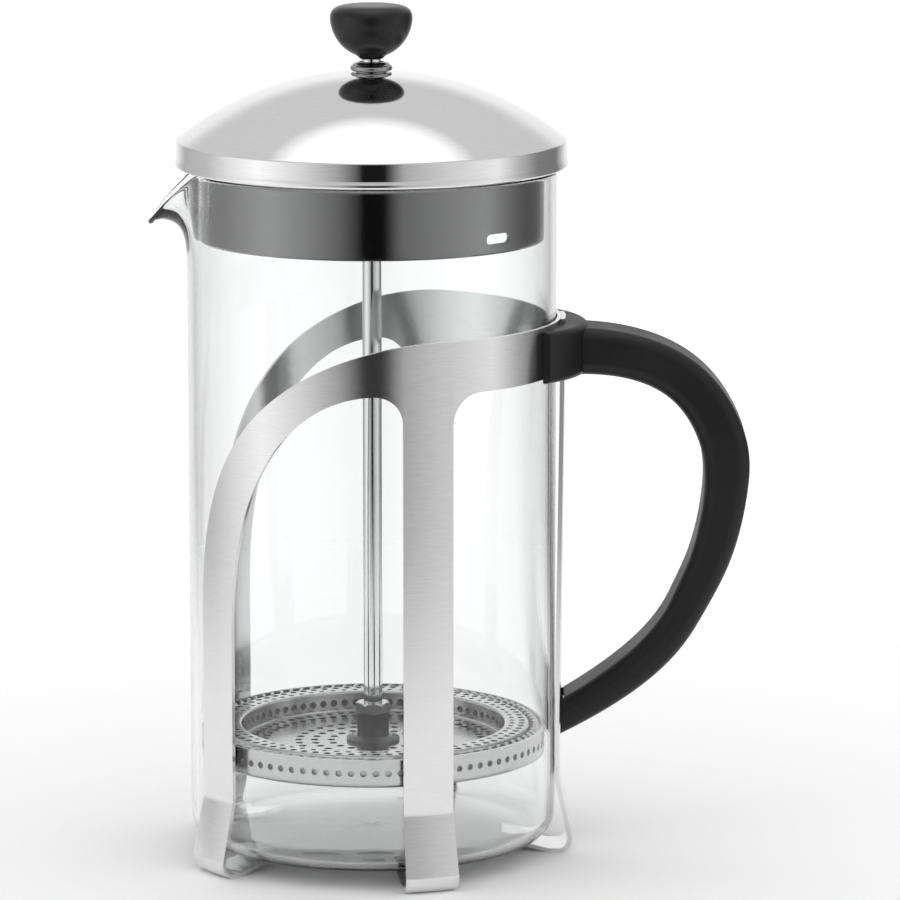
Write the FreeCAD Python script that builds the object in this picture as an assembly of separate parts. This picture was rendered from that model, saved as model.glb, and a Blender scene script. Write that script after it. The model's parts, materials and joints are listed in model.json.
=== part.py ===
import FreeCAD, Part
import math
import os
from FreeCAD import Vector

Vector2d = FreeCAD.Base.Vector2d

# French press. Millimetres, +Z up, origin on the beaker's axis at the level of the table.
# +X points to the handle, -X to the spout. An angle is measured about Z from +X.

# ---- driving dimensions -------------------------------------------------------------------
BEAKER_R = 48.0              # glass, outside
BEAKER_WALL = 2.0
BEAKER_FLOOR = 2.2
BEAKER_BOTTOM_Z = 3.95       # the glass stands on the five tabs of the feet
BEAKER_RIM_Z = 181.2
BEAKER_CORNER = 7.0

SPOUT_TIP_R = 57.8
SPOUT_TIP_Z = 168.5
SPOUT_HALF_WIDTH = 17.0

SHEET = 1.0                  # steel sheet of the cage
CAGE_R = 48.3                # inside of the cage
BAND_TOP_Z = 142.4
BAND_BOTTOM_Z = 128.9
LEG_ANGLES = (72.0, 144.0)   # on both sides; the fifth leg is the strap at 0 degrees
LEG_HALF_ANGLE = 7.75
FLARE_Z = 21.0               # the legs turn outwards below this height
HOOP_FLARE = 12.5            # degrees
STRAP_FLARE = 12.5
STRAP = 1.1                  # sheet of the rear strap
TAB_SLOPE = 12.5             # degrees, the tabs rise inwards to the glass
TAB_END_R = 34.0
PAD_END_R = 46.5
FOOT_BEND = 3.2

HANDLE_WIDTH = 19.0
HANDLE_EDGE = 3.4
SADDLE_HALF_ANGLE = 26.5
SCREWS = ((CAGE_R + 0.05, 134.2), (CAGE_R + 0.15, 39.2))    # x of the head, height
SCREW_R = 1.75
SCREW_HEAD_R = 3.4
SCREW_LENGTH = 9.0
INSERT_R = 2.5
INSERT_START = 3.3           # from the screw's head to the insert
INSERT_LENGTH = 4.6

DOME_R = 50.3
DOME_RIM_Z = 181.7
DOME_APEX_Z = 206.2
DOME_SPHERE_R = 80.5
DOME_SHEET = 0.8
COLLAR_R = 44.8
COLLAR_BOTTOM_Z = 163.0
COLLAR_WALL = 0.8
SLOT_ANGLES = (-44.0, 136.0)

ROD_R = 2.5
ROD_THREAD_R = 1.95
BOSS_R = 5.5
BOSS_HEIGHT = 2.4            # above the dome
BOSS_TOP_Z = DOME_APEX_Z + BOSS_HEIGHT
BOSS_STUD_R = 4.0
BOSS_STUD_LENGTH = 7.3
KNOB_R = 10.7
KNOB_HEIGHT = 14.2
KNOB_BOTTOM_Z = BOSS_TOP_Z + 0.7
KNOB_TOP_Z = KNOB_BOTTOM_Z + KNOB_HEIGHT

FILTER_BOTTOM_Z = 26.8
FILTER_PLATE = 0.9
SKIRT_R = 45.2
SKIRT_TOP_Z = 34.2
SKIRT_HOLE_Z = 30.7
COIL_CENTRE_R = 42.95              # the coil lies inside the top of the skirt
COIL_R = 1.3
COIL_Z = 33.2
MESH_Z = 27.85               # underside of the woven screen
MESH_SHEET = 0.3
PAN_Z = 28.3                 # underside of the pan's floor
PAN_SHEET = 0.8
PAN_WALL_R = 35.4            # outside of the pan's inner wall
PAN_RIM_Z = 34.4
PAN_RIM_R = 41.3
PAN_LIP_Z = 31.0             # the rim turns down to this height
HOLE_PITCH = 3.15            # between the small holes of each ring
HUB_R = 4.2
HUB_TOP_Z = 36.6
NUT_TOP_Z = 39.4

GAP = 0.05                   # between pieces that are fixed to each other
FIT = 0.07                   # radial clearance of a running fit or a thread

ORIGIN = Vector(0, 0, 0)
UP = Vector(0, 0, 1)


# ---- shared helpers -----------------------------------------------------------------------
def outline(*points):
    """Closed face in the XZ plane. (x, z) ends a straight side, (xm, zm, x, z) an arc through its middle."""
    edges = []
    start = points[0]
    here = start
    for point in points[1:] + (start,):
        end = point[-2:]
        a = Vector(here[0], 0, here[1])
        b = Vector(end[0], 0, end[1])
        if len(point) == 4:
            edges.append(Part.Arc(a, Vector(point[0], 0, point[1]), b).toShape())
        elif (a - b).Length > 1e-6:
            edges.append(Part.LineSegment(a, b).toShape())
        here = end
    return Part.Face(Part.Wire(edges))


def turned(*points):
    """Solid of revolution about Z."""
    return outline(*points).revolve(ORIGIN, UP, 360)


def ring(r_in, r_out, z_low, z_high):
    return turned((r_in, z_low), (r_out, z_low), (r_out, z_high), (r_in, z_high))


def spun(shape, degrees):
    copy = shape.copy()
    copy.rotate(ORIGIN, UP, degrees)
    return copy


def one(shape):
    """The single solid of a boolean result, with split faces joined."""
    shape = shape.removeSplitter()
    return shape.Solids[0] if len(shape.Solids) == 1 else shape


def hole_ring(radius, z_low, z_high, hole_r, count, phase=0.0):
    """Upright pegs on a circle, to cut a ring of holes."""
    peg = Part.makeCylinder(hole_r, z_high - z_low, Vector(radius, 0, z_low), UP)
    return [spun(peg, phase + 360.0 * i / count) for i in range(count)]


def along_x(r, x_low, x_high, z):
    return Part.makeCylinder(r, x_high - x_low, Vector(x_low, 0, z), Vector(1, 0, 0))


def hexagon_prism(flats, z_low, z_high, bore_r):
    corner = flats / math.sqrt(3)
    points = [Vector(corner * math.cos(a), corner * math.sin(a), z_low)
              for a in (math.radians(60 * i) for i in range(7))]
    prism = Part.Face(Part.makePolygon(points)).extrude(UP * (z_high - z_low))
    chamfer = turned((0, z_low), (flats / 2, z_low), (corner, z_low + 0.5),
                     (corner, z_high - 0.5), (flats / 2, z_high), (0, z_high))
    bore = Part.makeCylinder(bore_r, z_high - z_low, Vector(0, 0, z_low), UP)
    return prism.common(chamfer).cut(bore)


def bent_strip(path, bends, thickness, half_angle):
    """Sheet bent along a path in the (r, z) plane and as wide as a sector about Z."""
    def left(d):
        return Vector(-d.z, 0, d.x)

    points = [Vector(r, 0, z) for r, z in path]
    sides = {}
    for offset in (thickness / 2, -thickness / 2):
        first = (points[1] - points[0]).normalize()
        chain = [points[0] + left(first) * offset]
        edges = []
        for before, corner, after, bend in zip(points, points[1:], points[2:], bends):
            d1 = (corner - before).normalize()
            d2 = (after - corner).normalize()
            turn = math.copysign(d1.getAngle(d2), left(d1).dot(d2))
            reach = bend * math.tan(abs(turn) / 2)
            side = math.copysign(1, turn)
            centre = corner - d1 * reach + left(d1) * (bend * side)
            radius = bend - side * offset
            begin = corner - d1 * reach + left(d1) * offset
            end = corner + d2 * reach + left(d2) * offset
            middle = centre + (corner - centre).normalize() * radius
            edges.append(Part.LineSegment(chain[-1], begin).toShape())
            edges.append(Part.Arc(begin, middle, end).toShape())
            chain.append(end)
        last = (points[-1] - points[-2]).normalize()
        tail = points[-1] + left(last) * offset
        edges.append(Part.LineSegment(chain[-1], tail).toShape())
        sides[offset] = (edges, chain[0], tail)
    edges_a, head_a, tail_a = sides[thickness / 2]
    edges_b, head_b, tail_b = sides[-thickness / 2]
    caps = [Part.LineSegment(head_a, head_b).toShape(), Part.LineSegment(tail_a, tail_b).toShape()]
    face = Part.Face(Part.Wire(Part.__sortEdges__(edges_a + edges_b + caps)))
    return spun(face.revolve(ORIGIN, UP, 2 * half_angle), -half_angle)


def screw_shape(head_x, z, clearance=0.0):
    """Countersunk screw along +X with its head's flat at head_x."""
    head_depth = SCREW_HEAD_R - SCREW_R
    tip_x = head_x + SCREW_LENGTH + 3 * clearance
    cone = Part.makeCone(SCREW_HEAD_R + clearance, SCREW_R + clearance, head_depth,
                         Vector(head_x, 0, z), Vector(1, 0, 0))
    shank = along_x(SCREW_R + clearance, head_x + head_depth - 0.01, tip_x, z)
    screw = cone.fuse(shank)
    if clearance:
        mouth = along_x(SCREW_HEAD_R + clearance, head_x - 2.0, head_x, z)
        screw = screw.fuse(mouth)
    return screw


# ---- cage: hoop and rear strap ------------------------------------------------------------
def on_cylinder(curves, radius):
    """Wire and face of a closed outline, in (angle, height), laid on a cylinder."""
    surface = Part.Cylinder()
    surface.Radius = radius
    edges = [curve.toShape(surface) for curve in curves]
    return edges, Part.Face(surface, Part.Wire(edges))


def wrapped_sheet(curves, r_in, r_out):
    inner_edges, inner = on_cylinder(curves, r_in)
    outer_edges, outer = on_cylinder(curves, r_out)
    sides = [Part.makeRuledSurface(a, b) for a, b in zip(inner_edges, outer_edges)]
    shell = Part.makeShell([inner, outer] + sides)
    shell.sewShape()
    return Part.makeSolid(shell)


def hoop_outline():
    """Half of the hoop's blank, from the handle round to the leg beside the spout."""
    mm = 1.0 / (CAGE_R + SHEET)            # radians in one millimetre of the outer surface
    seam = math.pi                         # the cylinder's seam lies under the spout
    flat_end = seam + 58.0 * mm            # the band's top edge is level as far as here
    near, far = [math.radians(a) + seam for a in LEG_ANGLES]
    half = math.radians(LEG_HALF_ANGLE)
    sweep_z = 71.5                         # where the swept outer edge becomes upright
    arch_z = 66.0                          # and the inner edge, under the arch
    arch_corner = 7.2                      # of the arch at the leg in the middle
    arch_crown = near + half + arch_corner * mm
    top_z = BAND_TOP_Z
    low_z = BAND_BOTTOM_Z
    curves = []
    here = [Vector2d(seam, top_z)]

    def line(u, z):
        end = Vector2d(u, z)
        curves.append(Part.Geom2d.Line2dSegment(here[0], end))
        here[0] = end

    def quarter(u, z, centre_u, centre_z):
        """Quarter of an ellipse from here to (u, z), with level and upright ends."""
        half_u = max(abs(u - centre_u), abs(here[0].x - centre_u))
        half_z = max(abs(z - centre_z), abs(here[0].y - centre_z))
        start = here[0]
        end = Vector2d(u, z)
        start_angle = math.atan2((start.y - centre_z) / half_z, (start.x - centre_u) / half_u)
        end_angle = math.atan2((end.y - centre_z) / half_z, (end.x - centre_u) / half_u)
        poles = [start, Vector2d(0, 0), end]
        corner_u = centre_u + half_u * (math.cos(start_angle) + math.cos(end_angle))
        corner_z = centre_z + half_z * (math.sin(start_angle) + math.sin(end_angle))
        poles[1] = Vector2d(corner_u, corner_z)
        curve = Part.Geom2d.BSplineCurve2d()
        curve.buildFromPolesMultsKnots(poles, [3, 3], [0, 1], False, 2, [1.0, math.sqrt(0.5), 1.0])
        curves.append(curve)
        here[0] = end

    line(flat_end, top_z)
    quarter(far + half, sweep_z, flat_end, sweep_z)
    line(far + half, FLARE_Z)
    line(far - half, FLARE_Z)
    line(far - half, arch_z)
    quarter(arch_crown, low_z, arch_crown, arch_z)
    quarter(near + half, low_z - arch_corner, arch_crown, low_z - arch_corner)
    line(near + half, FLARE_Z)
    line(near - half, FLARE_Z)
    line(near - half, low_z - 8.0)
    quarter(near - half - 8.0 * mm, low_z, near - half - 8.0 * mm, low_z - 8.0)
    line(seam, low_z)
    line(seam, top_z)
    return curves


def foot(centre_r, flare, thickness, top_z):
    """Lower end of a leg: flare, bend, pad on the table and the tab under the glass."""
    pad_z = thickness / 2
    corner_r = centre_r + (FLARE_Z - 1.0 - pad_z) * math.tan(math.radians(flare))
    tab_z = pad_z + (PAD_END_R - TAB_END_R) * math.tan(math.radians(TAB_SLOPE))
    path = [(centre_r, top_z), (centre_r, FLARE_Z - 1.0), (corner_r, pad_z),
            (PAD_END_R, pad_z), (TAB_END_R, tab_z)]
    return path, [8.0, FOOT_BEND, 6.0]


def frame_hoop():
    half = wrapped_sheet(hoop_outline(), CAGE_R, CAGE_R + SHEET)
    half = spun(half, 180)
    hoop = half.fuse(half.mirror(ORIGIN, Vector(0, 1, 0)))
    path, bends = foot(CAGE_R + SHEET / 2, HOOP_FLARE, SHEET, FLARE_Z)
    leg_end = bent_strip(path, bends, SHEET, LEG_HALF_ANGLE)
    for angle in LEG_ANGLES:
        hoop = hoop.fuse([spun(leg_end, angle), spun(leg_end, -angle)])
    return one(hoop.cut(screw_shape(*SCREWS[0], 0.1)))


def rear_strap():
    low_r = CAGE_R + STRAP / 2
    high_r = CAGE_R + SHEET + GAP + STRAP / 2
    path, bends = foot(low_r, STRAP_FLARE, STRAP, FLARE_Z + 8.0)
    path = [(high_r, BAND_TOP_Z), (high_r, BAND_BOTTOM_Z - 3.0)] + path
    strap = bent_strip(path, [40.0, 40.0] + bends, STRAP, LEG_HALF_ANGLE)
    return one(strap.cut([screw_shape(x, z, 0.1) for x, z in SCREWS]))


# ---- handle and its fixings ---------------------------------------------------------------
def smooth_edge(poles):
    """Cubic B-spline in the XZ plane through its first and last poles."""
    spans = len(poles) - 3
    curve = Part.BSplineCurve()
    curve.buildFromPolesMultsKnots([Vector(x, 0, z) for x, z in poles], [4] + [1] * (spans - 1) + [4],
                                   [i / spans for i in range(spans + 1)], False, 3)
    return curve.toShape()


def handle_arm():
    back = CAGE_R + SHEET                  # the handle's ends lie on the cage
    low_end = (32.1, 41.3)                 # heights of the two ends
    high_end = (127.7, 140.2)
    outer = smooth_edge([(back, high_end[1]), (78.6, 140.5), (99.0, 116.9), (98.7, 97.6),
                         (94.6, 79.2), (88.2, 66.8), (76.0, 45.5), (back, low_end[0])])
    inner = smooth_edge([(back, low_end[1]), (72.0, 55.0), (80.2, 72.6), (83.6, 80.0),
                         (87.2, 95.9), (86.5, 114.3), (71.5, 129.1), (back, high_end[0])])
    ends = [Part.LineSegment(Vector(back, 0, a), Vector(back, 0, b)).toShape()
            for a, b in (low_end, high_end)]
    side = Part.Face(Part.Wire([outer, ends[0], inner, ends[1]]))
    side.translate(Vector(0, -HANDLE_WIDTH / 2, 0))
    arm = side.extrude(Vector(0, HANDLE_WIDTH, 0))
    return arm.makeFillet(HANDLE_EDGE, [e for e in arm.Edges if e.Length > 60])


def handle_saddle():
    """Wings of the handle's upper end, which hug the band."""
    back = CAGE_R + SHEET
    low_z = 127.9
    height = 13.3
    tip_r = back + 2.2
    tip_angle = math.radians(SADDLE_HALF_ANGLE)
    tip = Vector(tip_r * math.cos(tip_angle), tip_r * math.sin(tip_angle), low_z)
    other_tip = Vector(tip.x, -tip.y, low_z)
    crown = Part.Arc(tip, Vector(back + 7.0, 0, low_z), other_tip).toShape()
    inside = Part.makePolygon([other_tip, Vector(40, -tip.y * 0.8, low_z),
                               Vector(40, tip.y * 0.8, low_z), tip])
    saddle = Part.Face(Part.Wire([crown] + inside.Edges)).extrude(UP * height)
    crown_edges = [e for e in saddle.Edges if e.Length > 40 and e.CenterOfMass.x > back - 8]
    return saddle.makeFillet(1.6, crown_edges)


def handle():
    back = CAGE_R + SHEET
    body = handle_arm().fuse(handle_saddle())
    core = Part.makeCylinder(back + GAP, 200, ORIGIN, UP)
    channel_path = [(back - 2.0, BAND_TOP_Z + 5), (back - 2.0, 20.0)]
    channel = bent_strip(channel_path, [], 2 * (2.0 + STRAP + 2 * GAP), LEG_HALF_ANGLE + 0.3)
    body = body.cut([core, channel])
    for head_x, z in SCREWS:
        start = head_x + INSERT_START - 0.2
        seat = along_x(INSERT_R + GAP, start, start + INSERT_LENGTH + 0.4, z)
        body = body.cut([screw_shape(head_x, z, 0.1), seat])
    return one(body)


def handle_screws():
    screws = []
    for head_x, z in SCREWS:
        socket = hexagon_prism(2.5, -0.1, 1.0, 0.01)
        socket.rotate(ORIGIN, Vector(0, 1, 0), 90)
        socket.translate(Vector(head_x, 0, z))
        screws.append(screw_shape(head_x, z).cut(socket))
    return Part.makeCompound(screws)


def handle_inserts():
    inserts = []
    for head_x, z in SCREWS:
        start = head_x + INSERT_START
        end = start + INSERT_LENGTH
        sleeve = along_x(INSERT_R, start, end, z)
        waist = along_x(INSERT_R + 1, start + 2.0, end - 2.0, z).cut(
            along_x(INSERT_R - 0.3, start + 2.0, end - 2.0, z))
        thread = along_x(SCREW_R + FIT, start - 1, end + 1, z)
        inserts.append(sleeve.cut(waist).cut(thread))
    return Part.makeCompound(inserts)


# ---- glass beaker -------------------------------------------------------------------------
def spout_loft(shrink, lift):
    """Trough of the spout, filled to its lip. shrink takes the glass off its sides and floor."""
    sections = []
    stations = (             # distance from the axis, half width, height of the lip, height of the floor
        (40.0, SPOUT_HALF_WIDTH + 2.5, BEAKER_RIM_Z, 160.0),
        (46.8, SPOUT_HALF_WIDTH - 1.0, BEAKER_RIM_Z - 0.4, 163.0),
        (52.0, 11.0, SPOUT_TIP_Z + 9.5, 168.0),
        (56.0, 6.5, SPOUT_TIP_Z + 5.0, 168.7),
        (SPOUT_TIP_R, 3.6, SPOUT_TIP_Z + 1.2, 167.6),
    )
    for r, half_width, lip_z, floor_z in stations:
        w = half_width - shrink
        top = lip_z + lift
        low = floor_z + shrink
        left_lip = Vector(-r, -w, top)
        right_lip = Vector(-r, w, top)
        arc = Part.Arc(left_lip, Vector(-r, 0, low), right_lip).toShape()
        sections.append(Part.Wire([arc, Part.LineSegment(right_lip, left_lip).toShape()]))
    return Part.makeLoft(sections, True)


def glass_beaker():
    inner_r = BEAKER_R - BEAKER_WALL
    inner_corner = BEAKER_CORNER - BEAKER_WALL
    floor_z = BEAKER_BOTTOM_Z + BEAKER_FLOOR
    bend = math.sqrt(0.5)
    rim = BEAKER_WALL / 2
    body = turned(
        (0, BEAKER_BOTTOM_Z), (BEAKER_R - BEAKER_CORNER, BEAKER_BOTTOM_Z),
        (BEAKER_R - BEAKER_CORNER * (1 - bend), BEAKER_BOTTOM_Z + BEAKER_CORNER * (1 - bend),
         BEAKER_R, BEAKER_BOTTOM_Z + BEAKER_CORNER),
        (BEAKER_R, BEAKER_RIM_Z - rim), (BEAKER_R - rim, BEAKER_RIM_Z, inner_r, BEAKER_RIM_Z - rim),
        (inner_r, floor_z + inner_corner),
        (inner_r - inner_corner * (1 - bend), floor_z + inner_corner * (1 - bend),
         inner_r - inner_corner, floor_z), (0, floor_z))
    bore = Part.makeCylinder(inner_r, 60, Vector(0, 0, 140), UP)
    spout = spout_loft(0.0, 0.0).cut(bore)
    trough = spout_loft(1.7, 2.0)
    return one(body.fuse(spout).cut(trough))


# ---- lid ----------------------------------------------------------------------------------
def sphere_z(r, sphere_r):
    """Height of the dome's outer or inner surface at a radius."""
    centre_z = DOME_APEX_Z - DOME_SPHERE_R
    return centre_z + math.sqrt(sphere_r ** 2 - r ** 2)


def lid_dome():
    inside = DOME_SPHERE_R - DOME_SHEET
    edge_r = DOME_R - 0.9                  # where the dome turns down into the rim
    wall_r = DOME_R - DOME_SHEET
    hole_r = BOSS_STUD_R + GAP
    curl = 0.75
    return turned(
        (hole_r, sphere_z(hole_r, DOME_SPHERE_R)),
        (26.0, sphere_z(26.0, DOME_SPHERE_R), edge_r, sphere_z(edge_r, DOME_SPHERE_R)),
        (DOME_R - 0.2, sphere_z(edge_r, DOME_SPHERE_R) - 0.75, DOME_R, sphere_z(edge_r, DOME_SPHERE_R) - 1.8),
        (DOME_R, DOME_RIM_Z + 2 * curl + 0.4), (DOME_R + 0.45, DOME_RIM_Z + curl, DOME_R - 0.1, DOME_RIM_Z),
        (wall_r, DOME_RIM_Z),
        (wall_r, sphere_z(wall_r - 0.6, inside) - 1.2), (wall_r - 0.6, sphere_z(wall_r - 0.6, inside)),
        (26.0, sphere_z(26.0, inside), hole_r, sphere_z(hole_r, inside)))


def lid_collar():
    """Steel ring that hangs in the mouth of the glass. Turning it brings its slots to the spout."""
    inner_r = COLLAR_R - COLLAR_WALL
    flange_z = BEAKER_RIM_Z + 0.25
    flange_r = DOME_R - DOME_SHEET - 0.35
    top_z = flange_z + 5.0
    body = turned(
        (inner_r, COLLAR_BOTTOM_Z + 0.5), (COLLAR_R - 0.4, COLLAR_BOTTOM_Z),
        (COLLAR_R, COLLAR_BOTTOM_Z + 0.5),
        (COLLAR_R, flange_z), (flange_r, flange_z), (flange_r, top_z), (flange_r - COLLAR_WALL, top_z),
        (flange_r - COLLAR_WALL, flange_z + COLLAR_WALL), (inner_r, flange_z + COLLAR_WALL))
    slot = Part.makeBox(6, 8, 2.6, Vector(COLLAR_R - 4, -4, COLLAR_BOTTOM_Z + 2.6))
    slot = slot.makeFillet(1.2, [e for e in slot.Edges if e.BoundBox.XLength > 5])
    return one(body.cut([spun(slot, angle) for angle in SLOT_ANGLES]))


def rod_guide_boss():
    foot_z = DOME_APEX_Z + GAP
    bore_r = 3.2
    stud_z = DOME_APEX_Z - BOSS_STUD_LENGTH
    return turned(
        (bore_r, stud_z), (BOSS_STUD_R, stud_z), (BOSS_STUD_R, foot_z), (5.0, foot_z),
        (BOSS_R, foot_z + 0.7, 5.0, foot_z + 1.5), (4.5, foot_z + 2.0, 3.7, BOSS_TOP_Z), (bore_r, BOSS_TOP_Z))


def rod_bush():
    return ring(ROD_R + FIT, 3.15, DOME_APEX_Z - BOSS_STUD_LENGTH - 0.6, BOSS_TOP_Z - 0.2)


def guide_nut():
    top_z = DOME_APEX_Z - 1.3
    return hexagon_prism(12.0, top_z - 4.0, top_z, BOSS_STUD_R + GAP)


# ---- plunger and knob ---------------------------------------------------------------------
def plunger_rod():
    foot_z = FILTER_BOTTOM_Z + 1.45
    low_shoulder_z = NUT_TOP_Z + 0.1
    high_shoulder_z = KNOB_BOTTOM_Z - 0.1
    tip_z = KNOB_BOTTOM_Z + 9.4
    tip_r = ROD_THREAD_R - 0.4
    return turned(
        (0, foot_z), (tip_r, foot_z), (ROD_THREAD_R, foot_z + 0.4), (ROD_THREAD_R, low_shoulder_z),
        (ROD_R, low_shoulder_z), (ROD_R, high_shoulder_z), (ROD_THREAD_R, high_shoulder_z),
        (ROD_THREAD_R, tip_z - 0.4), (tip_r, tip_z), (0, tip_z))


def knob():
    bore_r = ROD_THREAD_R + 0.08
    seat_r = 3.0 + GAP
    low = KNOB_BOTTOM_Z
    crown_r = 6.8                          # edge of the nearly flat top
    crown_drop = 0.25
    sphere_r = (crown_r ** 2 + crown_drop ** 2) / (2 * crown_drop)
    middle_r = crown_r / 2
    middle_z = KNOB_TOP_Z - sphere_r + math.sqrt(sphere_r ** 2 - middle_r ** 2)
    seat_z = low + 2.5
    roof_z = low + 10.8
    return turned(
        (bore_r, low), (3.0, low), (3.3, low + 0.5),
        (5.5, low + 1.6, 7.4, low + 3.45), (9.1, low + 5.5, 10.1, low + 7.6),
        (10.6, low + 9.1, KNOB_R, low + 10.3), (10.1, low + 12.1, 8.9, low + 13.2),
        (7.9, low + 13.7, crown_r, KNOB_TOP_Z - crown_drop), (middle_r, middle_z, 0, KNOB_TOP_Z),
        (0, roof_z), (seat_r, roof_z), (seat_r, seat_z), (bore_r, seat_z))


def knob_insert():
    bore_r = ROD_THREAD_R + FIT
    low = KNOB_BOTTOM_Z + 2.7
    top = KNOB_BOTTOM_Z + 10.3
    return turned((bore_r, low), (3.0, low), (3.0, low + 2.8), (2.7, low + 3.0), (2.7, low + 4.2),
                  (3.0, low + 4.4), (3.0, top), (bore_r, top))


# ---- filter -------------------------------------------------------------------------------
def holes_round(radius):
    return int(round(2 * math.pi * radius / HOLE_PITCH))


def cross_plate():
    low = FILTER_BOTTOM_Z
    top = low + FILTER_PLATE
    inner_r = SKIRT_R - 0.8
    body = turned(
        (HUB_R + GAP, low), (SKIRT_R - 1.4, low), (SKIRT_R - 0.41, low + 0.41, SKIRT_R, low + 1.4),
        (SKIRT_R, SKIRT_TOP_Z), (inner_r, SKIRT_TOP_Z), (inner_r, top + 0.6),
        (inner_r - 0.18, top + 0.18, inner_r - 0.6, top), (HUB_R + GAP, top))
    openings = hole_ring(30.5, low - 1, top + 1, 5.6, 12) + hole_ring(15.0, low - 1, top + 1, 3.6, 8)
    count = holes_round(SKIRT_R)
    peg = along_x(0.85, SKIRT_R - 2, SKIRT_R + 2, SKIRT_HOLE_Z)
    skirt_holes = [spun(peg, 360.0 * i / count) for i in range(count)]
    return one(body.cut(openings + skirt_holes))


def mesh_screen():
    """Woven screen with its edge turned up inside the skirt of the cross plate."""
    edge_r = SKIRT_R - 0.8 - 0.15
    edge_z = COIL_Z - COIL_R - 0.2
    top = MESH_Z + MESH_SHEET
    return turned(
        (HUB_R + GAP, MESH_Z), (edge_r - 0.4, MESH_Z), (edge_r, MESH_Z + 0.4), (edge_r, edge_z),
        (edge_r - MESH_SHEET, edge_z), (edge_r - MESH_SHEET, top + 0.1),
        (edge_r - MESH_SHEET - 0.1, top), (HUB_R + GAP, top))


def spiral_plate():
    """Pressed pan: perforated floor, upright wall, flat rim and a lip turned down beside the coil."""
    floor_z = PAN_Z + PAN_SHEET
    wall_r = PAN_WALL_R - PAN_SHEET
    lip_r = PAN_RIM_R - PAN_SHEET
    under_z = PAN_RIM_Z - PAN_SHEET
    body = turned(
        (HUB_R + GAP, PAN_Z), (PAN_WALL_R - 0.9, PAN_Z),
        (PAN_WALL_R - 0.26, PAN_Z + 0.26, PAN_WALL_R, PAN_Z + 0.9), (PAN_WALL_R, under_z),
        (lip_r, under_z), (lip_r, PAN_LIP_Z), (PAN_RIM_R, PAN_LIP_Z), (PAN_RIM_R, PAN_RIM_Z - 0.9),
        (PAN_RIM_R - 0.26, PAN_RIM_Z - 0.26, PAN_RIM_R - 0.9, PAN_RIM_Z), (wall_r + 0.6, PAN_RIM_Z),
        (wall_r + 0.18, PAN_RIM_Z - 0.18, wall_r, PAN_RIM_Z - 0.6), (wall_r, floor_z + 0.3),
        (wall_r - 0.3, floor_z), (HUB_R + GAP, floor_z))
    pegs = []
    for radius, hole_r in ((39.3, 0.9), (36.7, 0.7), (32.0, 1.0), (28.6, 1.0)):
        pegs += hole_ring(radius, PAN_Z - 1, PAN_RIM_Z + 1, hole_r, holes_round(radius))
    for radius, count in ((19.6, 34), (15.4, 26), (11.0, 18)):
        pegs += hole_ring(radius, PAN_Z - 1, PAN_RIM_Z + 1, 1.0, count)
    wall_peg = along_x(0.95, wall_r - 1, PAN_WALL_R + 1, (floor_z + under_z) / 2)
    count = holes_round(PAN_WALL_R)
    pegs += [spun(wall_peg, 360.0 * (i + 0.5) / count) for i in range(count)]
    return one(body.cut(pegs))


def coil_spring():
    """Outer shape of the wire coil that seals against the glass."""
    return Part.makeTorus(COIL_CENTRE_R, COIL_R, Vector(0, 0, COIL_Z), UP)


def cross_hub():
    flange_z = FILTER_BOTTOM_Z - GAP
    bore_z = FILTER_BOTTOM_Z + 1.05
    bore_r = ROD_THREAD_R + FIT
    return turned(
        (0, flange_z - 1.2), (8.0, flange_z - 1.2), (8.5, flange_z - 0.7), (8.5, flange_z), (HUB_R, flange_z),
        (HUB_R, HUB_TOP_Z), (bore_r, HUB_TOP_Z), (bore_r, bore_z), (0, bore_z))


def hub_washer():
    low = PAN_Z + PAN_SHEET + GAP
    top = low + 1.6
    return turned((HUB_R + GAP, low), (7.0, low), (7.0, low + 0.7), (5.2, top), (HUB_R + GAP, top))


def lock_nut():
    return hexagon_prism(8.0, HUB_TOP_Z + GAP, NUT_TOP_Z, ROD_THREAD_R + FIT)


# ---- write every node ---------------------------------------------------------------------
NODES = (
    frame_hoop, rear_strap, handle, handle_screws, handle_inserts, glass_beaker,
    lid_dome, lid_collar, rod_guide_boss, rod_bush, guide_nut,
    plunger_rod, knob, knob_insert,
    cross_plate, mesh_screen, spiral_plate, coil_spring, cross_hub, hub_washer, lock_nut,
)

os.makedirs("parts", exist_ok=True)
for build in NODES:
    shape = build()
    name = build.__name__
    box = shape.BoundBox
    print(f"{name:16s} solids {len(shape.Solids)} valid {shape.isValid()} volume {shape.Volume:9.1f}",
          f"x {box.XMin:7.2f} {box.XMax:7.2f} y {box.YMin:7.2f} {box.YMax:7.2f}",
          f"z {box.ZMin:7.2f} {box.ZMax:7.2f}")
    shape.exportStep(f"parts/{name}.step")
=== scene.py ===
import json
import math

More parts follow.
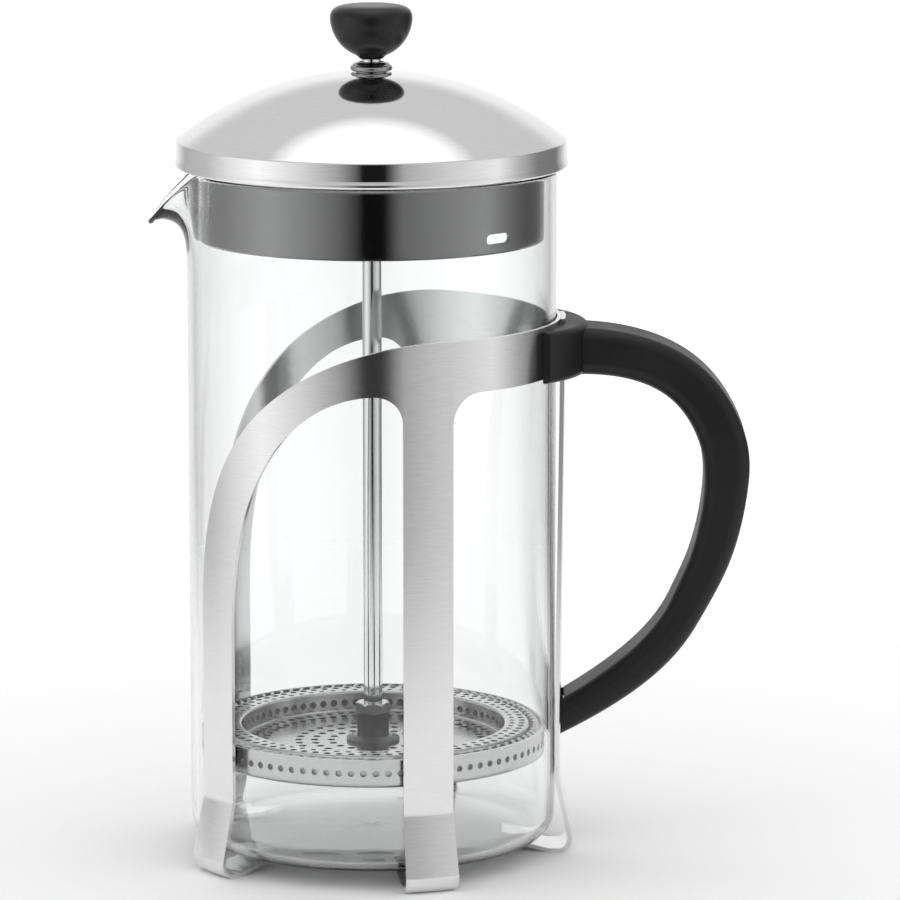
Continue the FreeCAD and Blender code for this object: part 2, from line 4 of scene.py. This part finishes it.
import bpy
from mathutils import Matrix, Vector


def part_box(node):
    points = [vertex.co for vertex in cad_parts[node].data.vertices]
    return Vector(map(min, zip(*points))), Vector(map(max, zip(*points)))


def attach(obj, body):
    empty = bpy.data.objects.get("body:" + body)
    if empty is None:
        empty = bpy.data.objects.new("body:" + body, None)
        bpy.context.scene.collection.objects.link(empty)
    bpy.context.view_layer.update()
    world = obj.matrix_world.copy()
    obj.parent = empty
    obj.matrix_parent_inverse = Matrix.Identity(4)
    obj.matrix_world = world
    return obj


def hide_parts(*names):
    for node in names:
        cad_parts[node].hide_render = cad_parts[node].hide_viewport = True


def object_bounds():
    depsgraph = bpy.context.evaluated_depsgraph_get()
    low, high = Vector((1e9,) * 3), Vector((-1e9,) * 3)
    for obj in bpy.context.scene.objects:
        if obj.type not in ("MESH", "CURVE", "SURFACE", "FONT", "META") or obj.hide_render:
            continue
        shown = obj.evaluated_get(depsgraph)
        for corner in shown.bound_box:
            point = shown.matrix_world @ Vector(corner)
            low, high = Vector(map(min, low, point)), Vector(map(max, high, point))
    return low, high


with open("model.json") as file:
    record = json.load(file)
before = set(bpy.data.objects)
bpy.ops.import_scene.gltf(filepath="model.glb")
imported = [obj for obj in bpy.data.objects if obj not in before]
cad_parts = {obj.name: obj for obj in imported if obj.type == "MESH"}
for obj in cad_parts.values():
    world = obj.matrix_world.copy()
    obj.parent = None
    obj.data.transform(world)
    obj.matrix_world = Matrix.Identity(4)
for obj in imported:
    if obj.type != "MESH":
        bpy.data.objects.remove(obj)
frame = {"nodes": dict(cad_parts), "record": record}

# French press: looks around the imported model. Metres, +Z up, +X to the handle, -X to the spout.
CAD_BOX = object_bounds()
NODES = frame["nodes"]
SCENE = bpy.context.scene
MM = 0.001


# ---- node helpers -------------------------------------------------------------------------
class Nodes:
    """Short way to build a node tree."""

    def __init__(self, tree):
        self.tree = tree
        tree.nodes.clear()

    def add(self, kind, **settings):
        node = self.tree.nodes.new(kind)
        for name, value in settings.items():
            setattr(node, name, value)
        return node

    def link(self, source, target):
        self.tree.links.new(source, target)

    def feed(self, socket, value):
        """A socket as a link, anything else as the socket's own value."""
        if isinstance(value, bpy.types.NodeSocket):
            self.link(value, socket)
        else:
            socket.default_value = value

    def math(self, operation, a, b=0.0, c=0.0):
        node = self.add("ShaderNodeMath", operation=operation)
        self.feed(node.inputs[0], a)
        self.feed(node.inputs[1], b)
        self.feed(node.inputs[2], c)
        return node.outputs[0]

    def span(self, value, low, high, to_low=0.0, to_high=1.0):
        """Smooth step of a value from one range to another."""
        node = self.add("ShaderNodeMapRange", interpolation_type="SMOOTHSTEP")
        self.feed(node.inputs["Value"], value)
        node.inputs["From Min"].default_value = low
        node.inputs["From Max"].default_value = high
        node.inputs["To Min"].default_value = to_low
        node.inputs["To Max"].default_value = to_high
        return node.outputs["Result"]

    def place(self):
        """The point's x, y and z in the row frame."""
        where = self.add("ShaderNodeTexCoord").outputs["Object"]
        split = self.add("ShaderNodeSeparateXYZ")
        self.link(where, split.inputs[0])
        return where, split.outputs

    def vector(self, x, y, z):
        node = self.add("ShaderNodeCombineXYZ")
        for socket, value in zip(node.inputs, (x, y, z)):
            self.feed(socket, value)
        return node.outputs[0]

    def noise(self, where, scale, detail=2.0, roughness=0.5):
        node = self.add("ShaderNodeTexNoise")
        self.link(where, node.inputs["Vector"])
        node.inputs["Scale"].default_value = scale
        node.inputs["Detail"].default_value = detail
        node.inputs["Roughness"].default_value = roughness
        return node.outputs["Fac"]

    def ramp(self, value, stops):
        """Colours or grey tones along a value, with straight steps between the stops."""
        node = self.add("ShaderNodeValToRGB")
        node.color_ramp.interpolation = "LINEAR"
        elements = node.color_ramp.elements
        while len(elements) < len(stops):
            elements.new(0.5)
        for element, (position, tone) in zip(elements, stops):
            element.position = position
        for element, (position, tone) in zip(elements, stops):
            colour = tone if isinstance(tone, tuple) else (tone, tone, tone)
            element.color = (*colour, 1.0)
        self.link(value, node.inputs[0])
        return node.outputs["Color"]

    def bump(self, height, distance, strength=1.0):
        node = self.add("ShaderNodeBump")
        node.inputs["Distance"].default_value = distance
        node.inputs["Strength"].default_value = strength
        self.link(height, node.inputs["Height"])
        return node.outputs["Normal"]


def material(name):
    """A new material, its nodes and the inputs of its shader."""
    made = bpy.data.materials.new(name)
    made.use_nodes = True
    nodes = Nodes(made.node_tree)
    shader = nodes.add("ShaderNodeBsdfPrincipled")
    output = nodes.add("ShaderNodeOutputMaterial")
    nodes.link(shader.outputs[0], output.inputs["Surface"])
    return made, nodes, shader.inputs


def round_about(nodes):
    """Row-frame point, its turn about the axis in radians, its radius and its height."""
    where, (x, y, z) = nodes.place()
    squares = nodes.math("ADD", nodes.math("MULTIPLY", x, x), nodes.math("MULTIPLY", y, y))
    radius = nodes.math("SQRT", squares)
    turn = nodes.math("ARCTAN2", y, x)
    return where, turn, radius, z


# ---- materials ----------------------------------------------------------------------------
def steel(name, tone, rough, grain, streak=0.04, warm=0.0):
    """Stainless steel with fine marks. The grain runs round the axis ("round") or along it ("along")."""
    made, nodes, inputs = material(name)
    where, turn, radius, z = round_about(nodes)
    if grain == "round":
        lines = nodes.vector(nodes.math("MULTIPLY", turn, 0.012), nodes.math("MULTIPLY", radius, 6.0),
                             nodes.math("MULTIPLY", z, 6.0))
    else:
        lines = nodes.vector(nodes.math("MULTIPLY", turn, 0.3), nodes.math("MULTIPLY", radius, 1.0),
                             nodes.math("MULTIPLY", z, 0.06))
    fine = nodes.noise(lines, 900.0, 3.0, 0.6)
    cloud = nodes.noise(where, 55.0, 3.0, 0.55)
    inputs["Metallic"].default_value = 1.0
    low = (tone * 0.94, tone * 0.94, tone * (0.94 - warm))
    high = (tone * 1.05, tone * 1.05, tone * (1.05 - warm))
    nodes.link(nodes.ramp(fine, ((0.25, low), (0.75, high))), inputs["Base Color"])
    spread = nodes.math("MULTIPLY", nodes.math("SUBTRACT", fine, 0.5), streak)
    haze = nodes.math("MULTIPLY", nodes.math("SUBTRACT", cloud, 0.5), streak * 1.2)
    nodes.link(nodes.math("ADD", nodes.math("ADD", spread, haze), rough), inputs["Roughness"])
    nodes.link(nodes.bump(fine, 0.000004, 0.6), inputs["Normal"])
    return made


def brass():
    """Brass with fine turning marks."""
    made, nodes, inputs = material("machined_brass")
    where, turn, radius, z = round_about(nodes)
    marks = nodes.noise(nodes.vector(turn, radius, nodes.math("MULTIPLY", z, 5.0)), 700.0)
    inputs["Metallic"].default_value = 1.0
    tones = nodes.ramp(marks, ((0.2, (0.68, 0.49, 0.20)), (0.8, (0.84, 0.65, 0.32))))
    nodes.link(tones, inputs["Base Color"])
    nodes.link(nodes.span(marks, 0.2, 0.8, 0.2, 0.34), inputs["Roughness"])
    return made


def moulded(name, tone, rough, grain_size, depth, shine=0.5):
    """Moulded plastic with a fine grain and faint handling marks. depth is the grain's, in metres."""
    made, nodes, inputs = material(name)
    where, _ = nodes.place()
    grain = nodes.noise(where, 1.0 / grain_size, 4.0, 0.65)
    wear = nodes.noise(where, 38.0, 4.0, 0.6)
    low = tuple(0.86 * c for c in tone)
    high = tuple(1.16 * c for c in tone)
    nodes.link(nodes.ramp(wear, ((0.3, low), (0.7, high))), inputs["Base Color"])
    nodes.link(nodes.span(wear, 0.3, 0.7, rough - 0.04, rough + 0.05), inputs["Roughness"])
    nodes.link(nodes.bump(grain, depth, 0.8), inputs["Normal"])
    inputs["IOR"].default_value = 1.5
    inputs["Specular IOR Level"].default_value = shine
    return made


def clear_glass():
    """Blown borosilicate glass: clear, with a very slight waviness down its length."""
    made, nodes, inputs = material("clear_glass")
    where, turn, radius, z = round_about(nodes)
    drawn = nodes.vector(nodes.math("MULTIPLY", turn, 0.5), 0.0, nodes.math("MULTIPLY", z, 6.0))
    wave = nodes.noise(drawn, 3.0, 1.0)
    inputs["Base Color"].default_value = (0.985, 0.995, 0.99, 1.0)
    inputs["Transmission Weight"].default_value = 1.0
    inputs["IOR"].default_value = 1.47
    inputs["Roughness"].default_value = 0.0
    nodes.link(nodes.bump(wave, 0.0003, 0.25), inputs["Normal"])
    return made


def woven_wire():
    """Dull steel with an uneven tone, for the screen between the two plates."""
    made, nodes, inputs = material("woven_wire")
    where, _ = nodes.place()
    tone = nodes.noise(where, 240.0, 3.0)
    inputs["Metallic"].default_value = 1.0
    nodes.link(nodes.ramp(tone, ((0.3, 0.42), (0.7, 0.62))), inputs["Base Color"])
    nodes.link(nodes.span(tone, 0.3, 0.7, 0.26, 0.4), inputs["Roughness"])
    return made


BLACK = (0.0085, 0.0085, 0.009)
FINISHES = {
    "cage_steel": steel("satin_cage_steel", 0.80, 0.17, "round", 0.05),
    "screw_steel": steel("plain_steel", 0.70, 0.24, "round", 0.06),
    "brass": brass(),
    "beaker_glass": clear_glass(),
    "dome_steel": steel("mirror_steel", 0.87, 0.06, "round", 0.03),
    "collar_steel": steel("dark_polished_steel", 0.23, 0.10, "round", 0.03),
    "boss_steel": steel("dark_boss_steel", 0.38, 0.09, "round", 0.03),
    "nylon": moulded("natural_nylon", (0.83, 0.82, 0.77), 0.42, 0.0006, 0.00001),
    "rod_steel": steel("polished_rod", 0.86, 0.05, "round", 0.02),
    "handle_plastic": moulded("matt_black_plastic", BLACK, 0.42, 0.00035, 0.00003, 0.3),
    "knob_plastic": moulded("smooth_black_plastic", BLACK, 0.27, 0.0005, 0.000006, 0.35),
    "filter_steel": steel("pressed_filter_steel", 0.60, 0.20, "round", 0.08),
    "mesh_steel": woven_wire(),
    "coil_steel": steel("spring_wire", 0.74, 0.16, "along", 0.05),
    "hub_steel": steel("turned_steel", 0.15, 0.22, "round", 0.06),
}


def finish_cad_nodes():
    """Every CAD node that is shown takes the finish of its slot."""
    for row in frame["record"]["subparts"]:
        mesh = NODES[row["node"]].data
        mesh.materials.clear()
        mesh.materials.append(FINISHES[row["material_slot"]])


# ---- pieces built in mesh code ------------------------------------------------------------
def new_piece(name, verts, faces, body, slot):
    """A smooth-shaded piece that moves with its body and takes the finish of its slot."""
    mesh = bpy.data.meshes.new(name)
    mesh.from_pydata([tuple(v) for v in verts], [], faces)
    mesh.validate()
    mesh.polygons.foreach_set("use_smooth", [True] * len(mesh.polygons))
    piece = bpy.data.objects.new(name, mesh)
    SCENE.collection.objects.link(piece)
    mesh.materials.append(FINISHES[slot])
    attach(piece, body)
    return piece


def closed_wire(path, radius, sides):
    """Vertices and faces of a round wire along a closed list of points."""
    count = len(path)
    verts = []
    side = Vector((0, 0, 1))
    for i, point in enumerate(path):
        along = (path[(i + 1) % count] - path[i - 1]).normalized()
        side = (side - along * side.dot(along)).normalized()
        other = along.cross(side)
        for k in range(sides):
            a = 2 * math.pi * k / sides
            verts.append(point + radius * (math.cos(a) * side + math.sin(a) * other))
    faces = []
    for i in range(count):
        j = (i + 1) % count
        for k in range(sides):
            m = (k + 1) % sides
            faces.append((i * sides + k, i * sides + m, j * sides + m, j * sides + k))
    return verts, faces


def coil_wire():
    """The wire coil inside the filter's skirt, as a real helix bent into a ring."""
    low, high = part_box("coil_spring")
    wire_r = 0.52 * MM
    wire_sides = 7
    outer_r = (high.z - low.z) / 2
    ring_r = high.x - outer_r
    turn_r = outer_r - wire_r
    pitch = 3.15 * MM
    turns = round(2 * math.pi * ring_r / pitch)
    steps = 16                             # points on each turn of the wire
    middle_z = (low.z + high.z) / 2
    path = []
    for i in range(turns * steps):
        a = 2 * math.pi * i / (turns * steps)
        b = 2 * math.pi * i / steps
        r = ring_r + turn_r * math.cos(b)
        path.append(Vector((r * math.cos(a), r * math.sin(a), middle_z + turn_r * math.sin(b))))
    verts, faces = closed_wire(path, wire_r, wire_sides)
    piece = new_piece("coil_wire", verts, faces, "filter", "coil_steel")
    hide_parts("coil_spring")


def lathe(points, steps=256):
    """Vertices and faces of a closed (r, z) outline turned about Z.

    The outline runs up the outside and down the inside, so that the faces look outward. A point on the
    axis becomes a single vertex.
    """
    on_axis = 1e-7
    verts = []
    rows = []
    for r, z in points:
        if r < on_axis:
            rows.append([len(verts)] * steps)
            verts.append(Vector((0, 0, z)))
            continue
        rows.append(list(range(len(verts), len(verts) + steps)))
        for k in range(steps):
            a = 2 * math.pi * k / steps
            verts.append(Vector((r * math.cos(a), r * math.sin(a), z)))
    faces = []
    for i, row in enumerate(rows):
        other = rows[(i + 1) % len(rows)]
        if row[0] == row[1] and other[0] == other[1]:
            continue
        for k in range(steps):
            m = (k + 1) % steps
            corners = [row[k], row[m], other[m], other[k]]
            faces.append(tuple(dict.fromkeys(corners)))
    return verts, faces


def smooth_line(poles, steps):
    """Points of a uniform cubic B-spline that starts and ends on its first and last poles."""
    poles = [Vector(p) for p in poles]
    poles = [poles[0] * 2 - poles[1]] + poles + [poles[-1] * 2 - poles[-2]]
    points = []
    for i in range(1, len(poles) - 2):
        a, b, c, d = poles[i - 1:i + 3]
        for k in range(steps):
            t = k / steps
            points.append((a * (1 - t) ** 3 + b * (3 * t ** 3 - 6 * t ** 2 + 4)
                           + c * (-3 * t ** 3 + 3 * t ** 2 + 3 * t + 1) + d * t ** 3) / 6)
    points.append((poles[-3] + poles[-2] * 4 + poles[-1]) / 6)
    return points


def polished_dome():
    """The lid: a shallow dome that turns down into an upright rim with a rolled edge."""
    low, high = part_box("lid_dome")
    sheet = 0.8 * MM
    roll = 0.45 * MM                       # how far the rolled edge stands out
    sphere_r = 80.5 * MM
    rim_r = high.x - 0.15 * MM
    shoulder_r = 1.9 * MM                  # distance from the rim at which the sphere starts to turn down
    hole_r = 4.05 * MM
    centre_z = high.z + (sphere_r - math.sqrt(sphere_r ** 2 - hole_r ** 2)) - sphere_r
    shoulder_z = centre_z + math.sqrt(sphere_r ** 2 - rim_r ** 2)

    def cap(radius, r_from, r_to, count=40):
        """Points of a sphere about the dome's centre, between two distances from the axis."""
        for k in range(count + 1):
            r = r_from + (r_to - r_from) * k / count
            yield Vector((r, centre_z + math.sqrt(radius ** 2 - r ** 2)))

    outside = list(cap(sphere_r, hole_r, rim_r - shoulder_r))
    slope = outside[-1] - outside[-2]
    corner = outside[-1] + slope * ((rim_r - outside[-1].x) / slope.x)
    turn_down = ((rim_r, corner.y - 1.3 * MM), (rim_r, corner.y - 2.4 * MM))
    shoulder = smooth_line([outside[-1], corner * 0.75 + outside[-1] * 0.25, corner, *turn_down], 6)
    wall_low_z = low.z + 2.6 * MM
    wall = [Vector((rim_r, corner.y + (wall_low_z - corner.y) * k / 6)) for k in range(4, 7)]
    rolled = ((0.0, 2.2 * MM), (0.2 * MM, 1.5 * MM), (roll, 0.75 * MM), (0.1 * MM, 0.05 * MM),
              (-sheet, 0.1 * MM), (-sheet, 1.2 * MM))
    edge = smooth_line([(rim_r + out, low.z + up) for out, up in rolled], 5)
    inner_r = rim_r - sheet
    inner_shoulder = [Vector((inner_r, shoulder_z - 3.5 * MM)),
                      Vector((inner_r - 0.3 * MM, shoulder_z - 1.9 * MM))]
    inside = list(cap(sphere_r - sheet, inner_r - 1.2 * MM, hole_r))
    outline = outside + shoulder[1:] + wall + edge + inner_shoulder + inside
    verts, faces = lathe(outline[::-1])
    piece = new_piece("polished_dome", verts, faces, "lid", "dome_steel")
    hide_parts("lid_dome")


def black_knob():
    """Round knob: a shallow crown, full shoulders and a waist that narrows to the rod."""
    low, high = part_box("knob")
    z = low.z
    top = high.z - z
    wide = high.x
    bore_r = 2.1 * MM
    insert_r = 3.05 * MM
    insert_z = z + 2.5 * MM                # the brass insert sits between this height and the roof
    roof = z + 0.76 * top
    # shares of the width and the height, from the foot to the crown
    outline = [(0.29, 0.0), (0.33, 0.06), (0.56, 0.13), (0.79, 0.285), (0.94, 0.49), (1.012, 0.71),
               (0.985, 0.87), (0.85, 0.95), (0.68, 0.985), (0.4, 0.996), (0.0, 1.0)]
    poles = [Vector((a * wide, z + b * top)) for a, b in outline]
    poles.insert(0, Vector((bore_r, z)))
    skin = smooth_line(poles, 8)
    skin[-1].x = 0.0
    bore = [Vector((0.0, roof)), Vector((insert_r, roof)), Vector((insert_r, insert_z)),
            Vector((bore_r, insert_z))]
    verts, faces = lathe(skin + bore, 160)
    piece = new_piece("black_knob", verts, faces, "knob", "knob_plastic")
    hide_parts("knob")


def blown_glass():
    """The beaker, with its spout pulled out of the wall so that one runs into the other."""
    low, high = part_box("glass_beaker")
    radius = high.x
    wall = 2.0 * MM
    corner = 7.0 * MM
    rim_z = high.z - wall / 2
    flat_r = radius - corner               # the base is level inside this radius, but for its hollow
    hollow = 0.5 * MM
    spout_low_z = 150 * MM
    half_spout = math.radians(22.0)
    columns = 360
    base_rows, corner_rows, wall_rows, rim_rows = 9, 10, 12, 6
    floor_rows = [flat_r * k / base_rows for k in range(base_rows + 1)]
    body = [(r, low.z + hollow * (1 - (r / flat_r) ** 2) ** 2) for r in floor_rows]
    for k in range(1, corner_rows + 1):
        a = math.pi / 2 * k / corner_rows
        body.append((flat_r + corner * math.sin(a), low.z + corner * (1 - math.cos(a))))
    wall_z = low.z + corner
    body += [(radius, wall_z + (spout_low_z - wall_z) * k / wall_rows) for k in range(1, wall_rows + 1)]
    # middle of the spout in mm from the axis and above the table: its underside and its trough
    under = ((48.0, 150), (48.0, 156), (48.2, 161.5), (49.4, 165.8), (52.2, 167.5), (54.8, 167.6),
             (57.0, 166.4))
    trough = ((46.0, 150), (46.0, 157), (46.3, 163.2), (47.9, 167.7), (51.2, 169.4), (54.9, 169.5),
              (57.4, 168.0))
    under = smooth_line([(r * MM, z * MM) for r, z in under], 11)
    trough = smooth_line([(r * MM, z * MM) for r, z in trough], 11)
    top_rows = len(under) - 1

    def skin_point(i, turn, spout, inset):
        """Point of row i at an angle, set in by the wall or not, with the spout mixed in about -X."""
        if i < len(body):
            r, z = body[i]
            if inset and z < wall_z:
                reach = max(0.0, r - flat_r)
                lean = math.sqrt(max(0.0, corner ** 2 - reach ** 2)) / corner
                r, z = r - inset * reach / corner, z + inset * lean
            elif inset:
                r -= inset
        else:
            k = i - len(body) + 1
            r, z = radius - inset, spout_low_z + (rim_z - spout_low_z) * k / top_rows
            off = abs(turn - math.pi) / half_spout
            if off < 1:
                weight = math.cos(math.pi / 2 * off) ** 2
                r += (spout[k].x - r) * weight
                z += (spout[k].y - z) * weight
        return Vector((r * math.cos(turn), r * math.sin(turn), z))

    rows = len(body) + top_rows
    turns = [2 * math.pi * j / columns for j in range(columns)]
    skin = [[skin_point(i, turn, under, 0.0) for turn in turns] for i in range(rows)]
    lining = [[skin_point(i, turn, trough, wall) for turn in turns] for i in range(rows)]
    verts = [skin[0][0]] + [point for row in skin[1:] for point in row]
    inner = [lining[0][0]] + [point for row in lining[1:] for point in row]
    rise = [(a - b).normalized() for a, b in zip(skin[-1], skin[-2])]
    rim = []
    for k in range(1, rim_rows):
        a = math.pi * k / rim_rows
        for start, end, up in zip(skin[-1], lining[-1], rise):
            middle = (start + end) / 2
            rim.append(middle + (start - middle) * math.cos(a) + up * (wall / 2 * math.sin(a)))
    count = len(verts)
    all_verts = verts + rim + inner

    def ring(first, j):
        """Vertex j of the ring that starts at vertex first."""
        return first + j % columns

    outer_rings = [1 + i * columns for i in range(rows - 1)]
    rim_rings = [count + k * columns for k in range(rim_rows - 1)]
    inner_rings = [count + len(rim) + 1 + i * columns for i in range(rows - 1)]
    rings = outer_rings + rim_rings + inner_rings[::-1]
    faces = []
    for a, b in zip(rings, rings[1:]):
        faces += [(ring(a, j), ring(a, j + 1), ring(b, j + 1), ring(b, j)) for j in range(columns)]
    faces += [(0, ring(1, j + 1), ring(1, j)) for j in range(columns)]
    centre = count + len(rim)
    faces += [(centre, ring(inner_rings[0], j), ring(inner_rings[0], j + 1)) for j in range(columns)]
    piece = new_piece("blown_glass", all_verts, faces, "beaker", "beaker_glass")
    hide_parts("glass_beaker")


# ---- room ---------------------------------------------------------------------------------
def floor():
    """Pale floor whose edge fades out into the white room."""
    half = 4.0
    solid_r, gone_r = 0.16, 0.55
    corners = [(-half, -half, 0), (half, -half, 0), (half, half, 0), (-half, half, 0)]
    mesh = bpy.data.meshes.new("floor")
    mesh.from_pydata(corners, [], [(0, 1, 2, 3)])
    made, nodes, inputs = material("pale_floor")
    where, turn, radius, z = round_about(nodes)
    inputs["Base Color"].default_value = (0.93, 0.93, 0.93, 1.0)
    inputs["Roughness"].default_value = 0.85
    inputs["Specular IOR Level"].default_value = 0.1
    nodes.link(nodes.span(radius, solid_r, gone_r, 1.0, 0.0), inputs["Alpha"])
    mesh.materials.append(made)
    piece = bpy.data.objects.new("floor", mesh)
    SCENE.collection.objects.link(piece)


def room_light():
    """White room that lights everything. Only reflections show its walls, dark lens slot and soft ceiling."""
    world = bpy.data.worlds.new("studio")
    SCENE.world = world
    world.use_nodes = True
    world.cycles.sampling_method = "NONE"
    nodes = Nodes(world.node_tree)
    split = nodes.add("ShaderNodeSeparateXYZ")
    nodes.link(nodes.add("ShaderNodeTexCoord").outputs["Generated"], split.inputs[0])
    x, y, z = split.outputs
    azimuth = nodes.math("ARCTAN2", x, nodes.math("MULTIPLY", y, -1.0))
    share = nodes.math("MULTIPLY_ADD", azimuth, 1 / (2 * math.pi), 0.5)
    slot_turn = 2.4                        # degrees from -Y to the middle of the dark lens slot
    slot_reach = 30                        # degrees; the tones nearer than this turn with the slot
    wall_light, ceiling_light, white_light, lamp_light = 1.2, 1.4, 1.06, 1.1
    # degrees from -Y towards +X, and brightness
    wall = ((-180, 1.0), (-160, 0.90), (-142, 0.48), (-112, 0.56), (-92, 0.84), (-69, 1.12), (-43, 0.80),
            (-22, 0.42), (-10, 0.12), (-6.6, 0.01), (6.6, 0.01), (10, 0.12), (18, 0.46), (46, 0.68),
            (80, 0.92), (97, 0.52), (116, 0.22), (140, 0.20), (160, 0.85), (180, 1.0))
    stops = [((a + (slot_turn if abs(a) < slot_reach else 0) + 180) / 360, tone / wall_light)
             for a, tone in wall]
    side = nodes.ramp(share, stops)
    ceiling = nodes.ramp(z, ((0.0, 0.62 / ceiling_light), (0.84, 0.66 / ceiling_light), (0.93, 1.0)))
    below = (0.80, 0.80, 0.80, 1.0)
    white = (1.0, 1.0, 1.0, 1.0)

    def scaled(colour, strength):
        """A background of a colour at a strength."""
        node = nodes.add("ShaderNodeBackground")
        nodes.feed(node.inputs["Color"], colour)
        node.inputs["Strength"].default_value = strength
        return node.outputs[0]

    def blend(factor, a, b):
        """Shader a where the factor is 0, shader b where it is 1."""
        node = nodes.add("ShaderNodeMixShader")
        nodes.feed(node.inputs[0], factor)
        nodes.link(a, node.inputs[1])
        nodes.link(b, node.inputs[2])
        return node.outputs[0]

    walls = blend(nodes.span(z, 0.25, 0.5), scaled(side, wall_light), scaled(ceiling, ceiling_light))
    seen = blend(nodes.span(z, -0.5, -0.32), scaled(below, 1.0), walls)
    path = nodes.add("ShaderNodeLightPath")
    unreflected = nodes.math("LESS_THAN", path.outputs["Glossy Depth"], 0.5)
    straight = nodes.math("MULTIPLY", path.outputs["Is Transmission Ray"], unreflected)
    seen = blend(straight, seen, scaled(white, white_light))
    plain = nodes.math("MAXIMUM", path.outputs["Is Camera Ray"], path.outputs["Is Diffuse Ray"])
    output = nodes.add("ShaderNodeOutputWorld")
    nodes.link(blend(plain, seen, scaled(white, lamp_light)), output.inputs["Surface"])


def camera():
    """Long lens that looks along +Y and a little down on the press."""
    low, high = CAD_BOX
    middle = (Vector(low) + Vector(high)) / 2
    aim_drop = 5.1 * MM
    aim = Vector((middle.x, 0.0, middle.z - aim_drop))
    turn = math.radians(0.28)
    rise = math.radians(10.26)
    distance = 1.437
    level = math.cos(rise)
    away = Vector((math.sin(turn) * level, -math.cos(turn) * level, math.sin(rise)))
    data = bpy.data.cameras.new("camera")
    data.lens = 219.8
    data.sensor_width = 36.0
    data.clip_end = 50.0
    eye = bpy.data.objects.new("camera", data)
    SCENE.collection.objects.link(eye)
    eye.location = aim + away * distance
    eye.rotation_euler = (-away).to_track_quat("-Z", "Y").to_euler()
    SCENE.camera = eye


SCENE.view_settings.view_transform = "Standard"
finish_cad_nodes()
coil_wire()
polished_dome()
black_knob()
blown_glass()
floor()
room_light()
camera()
